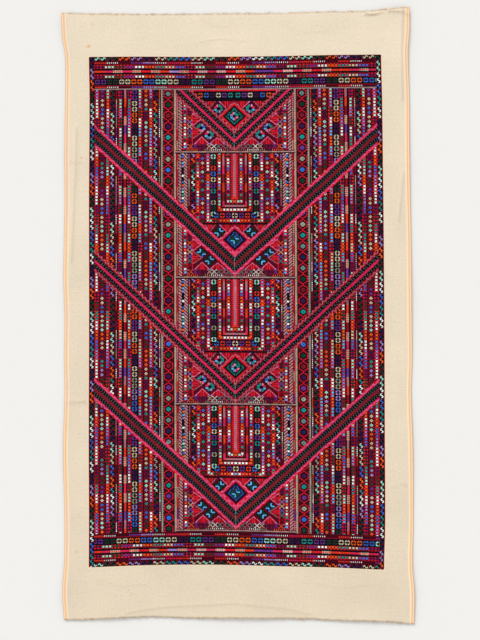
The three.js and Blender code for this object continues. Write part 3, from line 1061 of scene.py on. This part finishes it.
line_columns, line_rows = np.arange(CHART_COLUMNS + 1), np.arange(CHART_ROWS + 1)
stitch_x, stitch_y = field_points(line_columns, line_rows)
checker = np.where((line_columns[None, :] + line_rows[:, None]) % 2 == 0, 1.0, -1.0)
low_threads = np.isin(chart, [CODE[ord(letter)] for letter in "kmM"])
proud = np.pad(np.where(low_threads, 0.0, MOTIF_RISE), 1, mode="edge")
proud = (proud[:-1, :-1] + proud[1:, :-1] + proud[:-1, 1:] + proud[1:, 1:]) / 4
stitch_z = FIELD_TOP + SADDLE * checker + proud
stitch_z[[0, -1], :] = FIELD_RIM
stitch_z[:, [0, -1]] = FIELD_RIM
print("stitches:", chart.size, "of", round(float((stitch_x[0, 1] - stitch_x[0, 0]) / MM), 2), "mm by",
      round(float((stitch_y[0, 0] - stitch_y[1, 0]) / MM), 2), "mm")

# %% [markdown]
# ## The colour of each stitch
# Hand-dyed thread is never even: each needleful took the dye differently, and light has faded some
# places more than others. Each stitch's colour is its thread's colour times a random shade of its
# own, a shade of the stretch of about nine stitches that one needleful makes, and a broad mottling.

# %% Shades and colours
STITCH_SHADE = 0.13
NEEDLEFUL = 9
NEEDLEFUL_SHADE = 0.10
PATCH_SHADE = 0.05
BROAD_PATCH, NARROW_PATCH = 60, 20
DARKEST, LIGHTEST = 0.55, 1.5


def linear(colour):
    """The light that a screen colour of 0 to 255 stands for, by the screen's own curve."""
    c = np.asarray(colour) / 255.0
    return np.where(c <= 0.04045, c / 12.92, ((c + 0.055) / 1.055) ** 2.4)


def patches(rows, columns, step):
    """Even noise: random numbers on a coarse grid, blended between its points."""
    coarse = rng.normal(0, 1, (rows // step + 2, columns // step + 2))
    r, c = np.arange(rows) / step, np.arange(columns) / step
    r0, c0 = r.astype(int), c.astype(int)
    fr, fc = (r - r0)[:, None], (c - c0)[None, :]
    low = coarse[r0][:, c0] * (1 - fc) + coarse[r0][:, c0 + 1] * fc
    high = coarse[r0 + 1][:, c0] * (1 - fc) + coarse[r0 + 1][:, c0 + 1] * fc
    return low * (1 - fr) + high * fr


shade = 1 + STITCH_SHADE * rng.normal(0, 1, chart.shape)
needlefuls = rng.normal(0, 1, (CHART_ROWS // NEEDLEFUL + 1, CHART_COLUMNS))
shade *= 1 + NEEDLEFUL_SHADE * np.repeat(needlefuls, NEEDLEFUL, 0)[:CHART_ROWS]
shade *= (1 + PATCH_SHADE * patches(*chart.shape, BROAD_PATCH)
          + PATCH_SHADE * patches(*chart.shape, NARROW_PATCH))
shade = np.clip(shade, DARKEST, LIGHTEST)
stitch_colour = linear(np.array(list(THREADS.values())))[chart] * shade[..., None]
print("mean light of the stitches:", stitch_colour.mean((0, 1)).round(3))

# %% [markdown]
# ## Four strips of stitches
# Each strip is a quarter of the chart's columns. Its faces are flat-shaded quads, one for a stitch,
# and the stitch's colour is stored on the face's own corners. A picture for each strip would have to
# be far larger to show single stitches as crisply as colours on the corners do.

# %% The four strips
STRIPS = 4
STRIP_COLUMNS = CHART_COLUMNS // STRIPS
BLOCKS = 3
BLOCK_ROWS = CHART_ROWS // BLOCKS
BLOCK_GAP = 0.006


def corners(cells):
    """The same value for each of a cell's four corners."""
    return np.repeat(cells.reshape(-1, 1, cells.shape[-1]), 4, 1)


def strip_maps(rows, columns):
    """Two maps for a strip's corners. The first counts stitches, so that one stitch is one unit. The
    second folds the long strip into blocks side by side, which fills a square picture for baking."""
    row, column = np.meshgrid(np.arange(rows), np.arange(columns), indexing="ij")
    corner_rows = np.stack([row + 1, row + 1, row, row], -1).reshape(-1, 4)
    corner_columns = np.stack([column, column + 1, column + 1, column], -1).reshape(-1, 4)
    counted = np.stack([corner_columns, -corner_rows], -1).astype(float)
    block = np.repeat((row // BLOCK_ROWS).reshape(-1, 1), 4, 1)
    width = 1 / BLOCKS
    u = (block + BLOCK_GAP + (1 - 2 * BLOCK_GAP) * corner_columns / columns) * width
    v = BLOCK_GAP + (1 - 2 * BLOCK_GAP) * (corner_rows - block * BLOCK_ROWS) / BLOCK_ROWS
    return counted, np.stack([u, 1 - v], -1)


def colour_corners(piece, colours):
    """A colour for each corner of each face, so that neighbouring stitches don't blend."""
    attribute = piece.data.color_attributes.new("thread_colour", "FLOAT_COLOR", "CORNER")
    rgba = np.concatenate([colours, np.ones(colours.shape[:-1] + (1,))], -1)
    attribute.data.foreach_set("color", rgba.astype(np.float32).ravel())


embroidery = []
for strip in range(STRIPS):
    first = strip * STRIP_COLUMNS
    own = slice(first, first + STRIP_COLUMNS + 1)
    # rows of the chart run down the cloth, so they are turned to run towards +y
    points = np.stack([stitch_x[::-1, own], stitch_y[::-1, own], stitch_z[::-1, own]], -1)
    quads = grid_faces(*points.shape[:2])
    piece = new_piece(f"embroidery_{strip + 1}", points.reshape(-1, 3), quads, smooth=False)
    cells = stitch_colour[::-1, first:first + STRIP_COLUMNS]
    colour_corners(piece, corners(cells))
    counted, folded = strip_maps(CHART_ROWS, STRIP_COLUMNS)
    stitches = piece.data.uv_layers.new(name="stitches")
    stitches.data.foreach_set("uv", (counted * [1, -1] + [first, 0]).astype(np.float32).ravel())
    bake_map(piece, folded)
    embroidery.append(piece)
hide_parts("embroidered_field")
print("strips:", len(embroidery), "with", 2 * len(embroidery[0].data.polygons), "triangles each")

# %% [markdown]
# ## The backs of the stitches
# Counted work is nearly alike on both sides, but the back is flatter and muddier, because threads
# travel across it from motif to motif. A third of the front's lines is enough: each cell takes the
# colour of the stitch in front of it, dulled towards the ground's maroon.

# %% The reverse side
BACK_STEP = 3
BACK_DEEP, BACK_SHALLOW = 0.02 * MM, 0.22 * MM
BACK_DULL = 0.35
BACK_EDGE = 0.01
# the share of the cloth's width that is embroidered
EMBROIDERED = 0.86
back_x, back_y = stitch_x[::BACK_STEP, ::BACK_STEP].copy(), stitch_y[::BACK_STEP, ::BACK_STEP].copy()
inset = 1 - 2 * BACKS_INSET / (CLOTH_WIDTH * EMBROIDERED)
back_x = back_x.mean() + (back_x - back_x.mean()) * inset
back_y = back_y.mean() + (back_y - back_y.mean()) * inset
back_checker = (np.add.outer(np.arange(back_x.shape[0]), np.arange(back_x.shape[1])) % 2)
back_z = BACK_DEEP + (BACK_SHALLOW - BACK_DEEP) * back_checker
back_z[[0, -1], :] = BACKS_ROOM
back_z[:, [0, -1]] = BACKS_ROOM
back_points = np.stack([back_x, back_y, back_z], -1)[::-1]
back_quads = grid_faces(*back_points.shape[:2], up=False)
backs = new_piece("stitch_backs", back_points.reshape(-1, 3), back_quads, smooth=False)
back_cells = stitch_colour[1::BACK_STEP, 1::BACK_STEP][:back_x.shape[0] - 1, :back_x.shape[1] - 1]
ground = linear(THREADS["m"])
colour_corners(backs, corners((back_cells * (1 - BACK_DULL) + ground * BACK_DULL)[::-1]))
back_row, back_column = np.divmod(back_quads, back_points.shape[1])
stitches = backs.data.uv_layers.new(name="stitches")
stitches.data.foreach_set("uv", np.stack([back_column, back_row], -1).astype(np.float32).ravel())
back_u, back_v = back_column / (back_points.shape[1] - 1), back_row / (back_points.shape[0] - 1)
bake_map(backs, BACK_EDGE + (1 - 2 * BACK_EDGE) * np.stack([back_u, back_v], -1))
print("back triangles:", 2 * len(backs.data.polygons))

# %% What is sewn on the cloth
print("pieces sewn on the cloth:", 2 + len(embroidery))

# %% [markdown]
# ## Finishes
# A material is a small network of nodes: each takes numbers or colours in and passes one on. A few
# helpers keep that short. Each adds one kind of node, links what it is given, and returns the socket
# that comes out, so that a finish can be written down like a sum.

# %% Node helpers
def new_material(name, roughness, sheen=0.0, specular=0.3):
    """A plain soft material, and the two nodes that the finishes below build on."""
    material = bpy.data.materials.new(name)
    material.use_nodes = True
    shader = material.node_tree.nodes["Principled BSDF"]
    shader.inputs["Roughness"].default_value = roughness
    shader.inputs["Sheen Weight"].default_value = sheen
    shader.inputs["Sheen Roughness"].default_value = 0.5
    shader.inputs["Specular IOR Level"].default_value = specular
    return material, material.node_tree, shader


def node(tree, kind, **settings):
    """A new node with its settings."""
    made = tree.nodes.new(kind)
    for key, value in settings.items():
        setattr(made, key, value)
    return made


def math(tree, operation, first, second=None):
    """One sum: first and second are numbers or sockets."""
    made = node(tree, "ShaderNodeMath", operation=operation)
    for socket, value in zip(made.inputs, (first, second)):
        if value is None:
            continue
        if isinstance(value, (int, float)):
            socket.default_value = value
        else:
            tree.links.new(value, socket)
    return made.outputs[0]


def mixed(tree, share, first, second, blend="MIX"):
    """A mix of two colours: each of the three is a value or a socket."""
    made = node(tree, "ShaderNodeMix", data_type="RGBA", blend_type=blend)
    for socket, value in ((made.inputs[0], share), (made.inputs[6], first), (made.inputs[7], second)):
        if isinstance(value, (int, float)):
            socket.default_value = value
        elif isinstance(value, tuple):
            socket.default_value = (*value, 1.0)
        else:
            tree.links.new(value, socket)
    return made.outputs[2]


def ramp(tree, value, low, high, to_low=0.0, to_high=1.0):
    """A value taken from one range to another, and held at its ends."""
    made = node(tree, "ShaderNodeMapRange", clamp=True)
    for socket, number in zip(made.inputs[1:5], (low, high, to_low, to_high)):
        socket.default_value = number
    tree.links.new(value, made.inputs[0])
    return made.outputs[0]


def stored(tree, name, output="Fac"):
    """What is stored on the mesh under a name: a number, or with output Color a colour."""
    return node(tree, "ShaderNodeAttribute", attribute_name=name).outputs[output]


def split(tree, place):
    """The first two of a place's three numbers."""
    parts = node(tree, "ShaderNodeSeparateXYZ")
    tree.links.new(place, parts.inputs[0])
    return parts.outputs[0], parts.outputs[1]


def raise_surface(tree, shader, height, strength, distance):
    """A relief that only the light sees: distance is how high, in metres, a height of 1 seems."""
    bump = node(tree, "ShaderNodeBump")
    bump.inputs["Strength"].default_value = strength
    bump.inputs["Distance"].default_value = distance
    tree.links.new(height, bump.inputs["Height"])
    tree.links.new(bump.outputs[0], shader.inputs["Normal"])


helpers = (new_material, node, math, mixed, ramp, stored, split, raise_surface)
print("node helpers:", [helper.__name__ for helper in helpers])

# %% [markdown]
# ## Thread
# Thread shines softly along its length, so its roughness is lower than the cloth's. Each stitch gets
# a slanting twist of three strands, painted shade at its edges and a little painted light on its
# crown. They are all worked out from the map that counts stitches: the part of u or v after the point
# says where in its stitch a spot is.

# %% Front and back thread
STRAND_HEIGHT = 0.12
STRANDS = 3
def thread_material(name, roughness, slant):
    """Colour from the stitch, with painted shade where stitches meet and a little painted light on
    their crowns, and three strands slanting across each.
    """
    material, tree, shader = new_material(name, roughness, specular=0.04)
    colour = stored(tree, "thread_colour", "Color")
    u, v = split(tree, node(tree, "ShaderNodeUVMap", uv_map="stitches").outputs[0])
    hump_u = math(tree, "SINE", math(tree, "MULTIPLY", math(tree, "FRACT", u), float(np.pi)))
    hump_v = math(tree, "SINE", math(tree, "MULTIPLY", math(tree, "FRACT", v), float(np.pi)))
    pillow = math(tree, "POWER", math(tree, "MULTIPLY", hump_u, hump_v), 0.5)
    slanted = math(tree, "ADD", u, math(tree, "MULTIPLY", v, slant))
    turns = math(tree, "MULTIPLY", slanted, float(2 * STRANDS * np.pi))
    strands = math(tree, "MULTIPLY", math(tree, "SINE", turns), STRAND_HEIGHT)
    height = math(tree, "ADD", pillow, strands)
    # painted shade and light: colour times 0.72 where stitches meet, up to 1.06 on their crowns
    dark = ramp(tree, height, 0.0, 0.8, 0.72, 1.06)
    shaded = mixed(tree, 1.0, colour, dark, blend="MULTIPLY")
    tree.links.new(shaded, shader.inputs["Base Color"])
    raise_surface(tree, shader, height, 0.55, 0.0002)
    return material


front_thread = thread_material("soft shining thread", 0.62, 1.0)
back_thread = thread_material("thread on the reverse", 0.78, 0.15)
for piece in embroidery:
    piece.data.materials.append(front_thread)
backs.data.materials.append(back_thread)
print("threads:", front_thread.name, "and", back_thread.name)

# %% [markdown]
# ## Cotton
# Undyed cotton is cream. Low on the panel it is painted a little greyer, as painted shade. Uneven yarn
# makes faint streaks both ways, and each selvedge carries an ivory, an orange and an ivory stripe,
# with a thin line of painted shade along its very edge. The stripes follow the edge as it wanders, so
# they read the distance stored on each point.

# %% Colours of the cotton
# the lower cream is the cotton in painted shade: the cloth is painted darker towards the bottom
COTTON_TOP = tuple(linear((239, 224, 200)))
COTTON_LOW_PAINTED_SHADE = tuple(linear((230, 215, 190)))
IVORY = tuple(linear((250, 229, 198)))
PEACH = tuple(linear((252, 217, 179)))
ORANGE = tuple(linear((248, 190, 142)))
FRAY_BROWN = tuple(linear((200, 168, 134)))
# painted shade: the colour that creases and folds are darkened towards
PAINTED_CREASE_SHADE = tuple(linear((176, 150, 118)))
# painted shade for the cloth's rim, where its side would lie in shade
PAINTED_RIM_SHADE = tuple(linear((186, 164, 138)))
# where each selvedge stripe starts and ends, in mm from the edge, its colour and its strength; the last
# one is no stripe but painted shade along the rim
SELVEDGE_STRIPES = [(-1.0, 2.2, PEACH, 0.95), (2.2, 3.8, ORANGE, 0.95), (3.8, 5.8, IVORY, 0.95),
                    (-1.0, 0.45, PAINTED_RIM_SHADE, 0.8)]
STRIPE_BLUR = 0.15
WEAVE_PITCH = 0.9 * MM
# unevenness of the cotton: the noise's scales across and along, the part of its range that is used,
# and what the colour is multiplied by at each end of that part: mottling, streaks both ways, grain
UNEVENNESS = [
    ((14, 14), (0.3, 0.7), (0.95, 1.03)), ((30, 900), (0.25, 0.75), (0.975, 1.02)),
    ((900, 24), (0.25, 0.75), (0.98, 1.015)), ((420, 420), (0.3, 0.7), (0.94, 1.04)),
]
# place, size, colour and strength of old spots, mm
SPOTS = [
    ((-181.2, 327.6), 2.0, (238, 164, 112), 0.75), ((-183.6, 327.2), 1.6, (240, 190, 150), 0.6),
    ((-177.0, 354.3), 1.6, (232, 176, 150), 0.5), ((-186.0, 355.6), 1.2, (236, 190, 166), 0.4),
    ((-190.6, 191.7), 1.2, (232, 150, 90), 0.7), ((-196.5, -287.0), 2.2, (205, 180, 150), 0.4),
    ((-132.2, -334.0), 1.1, (200, 160, 130), 0.5), ((-129.2, -339.5), 1.0, (200, 165, 140), 0.5),
    ((-37.7, -333.0), 2.6, (214, 190, 160), 0.35),
]


print("old spots:", len(SPOTS))


# %% The cloth's finish
def noise(tree, place, scale_x, scale_y, detail=3.0):
    """Noise drawn out along x or y by unequal scales."""
    mapping = node(tree, "ShaderNodeMapping")
    mapping.inputs["Scale"].default_value = (scale_x, scale_y, 1.0)
    tree.links.new(place, mapping.inputs["Vector"])
    made = node(tree, "ShaderNodeTexNoise")
    made.inputs["Scale"].default_value = 1.0
    made.inputs["Detail"].default_value = detail
    tree.links.new(mapping.outputs[0], made.inputs["Vector"])
    return made.outputs[0]


def weave(tree, axis, other):
    """One set of threads: a sine across them, turned over at every second crossing thread."""
    turn = float(2 * np.pi / WEAVE_PITCH)
    wave = math(tree, "SINE", math(tree, "MULTIPLY", axis, turn))
    crossing = math(tree, "SINE", math(tree, "MULTIPLY", other, turn))
    return math(tree, "MULTIPLY", wave, math(tree, "SIGN", crossing))


def cotton_material():
    """From the bottom to the top of the cloth a cream in painted shade turns into the lit one. Multiplied
    into it are a broad mottling, streaks along and across, and a fine grain. Over that go painted shade
    along the creases and folds, spots, stripes with a painted shade line at the very edge, the clean rim
    round the stitching and the tan ends, each as a mix whose share is a ramp of a stored distance. The
    bump is the weave's own checker of sines."""
    material, tree, shader = new_material("undyed cotton", 0.92, sheen=0.15, specular=0.15)
    place = node(tree, "ShaderNodeTexCoord").outputs["Object"]
    x, y = split(tree, place)
    # painted shade: the cotton darker towards the bottom of the cloth
    colour = mixed(tree, ramp(tree, y, -0.36, 0.36), COTTON_LOW_PAINTED_SHADE, COTTON_TOP)
    for scales, used, factors in UNEVENNESS:
        factor = ramp(tree, noise(tree, place, *scales), *used, *factors)
        colour = mixed(tree, 1.0, colour, factor, blend="MULTIPLY")
    # painted shade along the creases and under the folds
    colour = mixed(tree, stored(tree, "crease_shade"), colour, PAINTED_CREASE_SHADE)
    for (spot_x, spot_y), size, tint, strength in SPOTS:
        away = node(tree, "ShaderNodeVectorMath", operation="DISTANCE")
        flat = node(tree, "ShaderNodeCombineXYZ")
        tree.links.new(x, flat.inputs[0])
        tree.links.new(y, flat.inputs[1])
        tree.links.new(flat.outputs[0], away.inputs[0])
        away.inputs[1].default_value = (spot_x * MM, spot_y * MM, 0)
        share = ramp(tree, away.outputs["Value"], 0.4 * size * MM, 1.3 * size * MM, strength, 0.0)
        colour = mixed(tree, share, colour, tuple(linear(tint)))
    edge = stored(tree, "from_selvedge")
    # the selvedge stripes, and last a painted shade line along the very edge of the cloth
    for start, end, tint, strength in SELVEDGE_STRIPES:
        begins = ramp(tree, edge, (start - STRIPE_BLUR) * MM, (start + STRIPE_BLUR) * MM)
        ends = ramp(tree, edge, (end - STRIPE_BLUR) * MM, (end + STRIPE_BLUR) * MM, 1.0, 0.0)
        inside = math(tree, "MULTIPLY", begins, ends)
        colour = mixed(tree, math(tree, "MULTIPLY", inside, strength), colour, tint)
    rim = stored(tree, "from_field")
    colour = mixed(tree, ramp(tree, rim, 0.9 * MM, 1.8 * MM, 0.75, 0.0), colour, IVORY)
    end = stored(tree, "from_cut_end")
    patchy = ramp(tree, noise(tree, place, 160, 30, 2.0), 0.4, 0.6, 0.25, 0.95)
    at_end = math(tree, "MULTIPLY", ramp(tree, end, 0.6 * MM, 2.0 * MM, 1.0, 0.0), patchy)
    colour = mixed(tree, at_end, colour, FRAY_BROWN)
    tree.links.new(colour, shader.inputs["Base Color"])
    slubs = math(tree, "MULTIPLY", noise(tree, place, 30, 900), 2.0)
    raise_surface(tree, shader, math(tree, "ADD", weave(tree, x, y), slubs), 0.35, 0.0001)
    return material


cloth.data.materials.append(cotton_material())
print("nodes in the cloth's finish:", len(cloth.data.materials[0].node_tree.nodes))


# %% The frayed ends' finish
def fray_material():
    """Loose warp ends: cotton gone tan with handling, mottled along its length."""
    material, tree, shader = new_material("frayed cotton ends", 0.9, sheen=0.15, specular=0.15)
    place = node(tree, "ShaderNodeTexCoord").outputs["Object"]
    mottle = node(tree, "ShaderNodeTexNoise")
    mottle.inputs["Scale"].default_value = 400.0
    tree.links.new(place, mottle.inputs["Vector"])
    share = ramp(tree, mottle.outputs[0], 0.3, 0.55)
    tree.links.new(mixed(tree, share, FRAY_BROWN, COTTON_TOP), shader.inputs["Base Color"])
    return material


fray.data.materials.append(fray_material())
print("materials:", [m.name for m in bpy.data.materials])

# %% [markdown]
# ## Floor, light and camera
# The panel lies on a pale floor under even studio light, a little stronger from the upper left, so
# that its lifted edges throw a narrow soft shadow to the right and below. The camera hangs straight
# above. A long lens from two metres away keeps the panel's sides parallel.

# %% Floor
FLOOR_SIZE = 6.0
FLOOR_COLOUR = (0.86, 0.855, 0.84, 1)
floor_mesh = bpy.data.meshes.new("floor")
half = FLOOR_SIZE / 2
floor_corners = [(-half, -half, 0), (half, -half, 0), (half, half, 0), (-half, half, 0)]
floor_mesh.from_pydata(floor_corners, [], [(0, 1, 2, 3)])
floor = bpy.data.objects.new("floor", floor_mesh)
bpy.context.scene.collection.objects.link(floor)
floor_material, _, floor_shader = new_material("pale floor", 0.9, specular=0.1)
floor_shader.inputs["Base Color"].default_value = FLOOR_COLOUR
floor_mesh.materials.append(floor_material)
print("floor, m:", FLOOR_SIZE)

# %% Light
ROOM_COLOUR, ROOM_STRENGTH = (1.0, 0.995, 0.985, 1), 0.77
SUN_STRENGTH, SUN_SPREAD = 1.17, 0.5
SUN_TILT = (-38, -24)
world = bpy.data.worlds.new("studio")
bpy.context.scene.world = world
world.use_nodes = True
world.node_tree.nodes["Background"].inputs["Color"].default_value = ROOM_COLOUR
world.node_tree.nodes["Background"].inputs["Strength"].default_value = ROOM_STRENGTH
sun_data = bpy.data.lights.new("window", "SUN")
sun_data.energy = SUN_STRENGTH
sun_data.angle = SUN_SPREAD
sun = bpy.data.objects.new("window", sun_data)
sun.rotation_euler = (*np.radians(SUN_TILT), 0)
bpy.context.scene.collection.objects.link(sun)
print("sunlight tilted by, degrees:", SUN_TILT)

# %% Camera
CAMERA_HEIGHT = 2.2
# the picture's height: so many rows, each so many mm of the cloth
PICTURE_HEIGHT = 640 * 1.2174 * MM
SENSOR = 36.0
camera_data = bpy.data.cameras.new("camera")
camera_data.sensor_fit = "VERTICAL"
camera_data.sensor_height = SENSOR
camera_data.lens = SENSOR * CAMERA_HEIGHT / PICTURE_HEIGHT
camera = bpy.data.objects.new("camera", camera_data)
camera.location = (2.5 * MM, -5.5 * MM, CAMERA_HEIGHT)
bpy.context.scene.collection.objects.link(camera)
bpy.context.scene.camera = camera
bpy.context.scene.view_settings.view_transform = "Standard"
print("lens, mm:", round(camera_data.lens, 1))
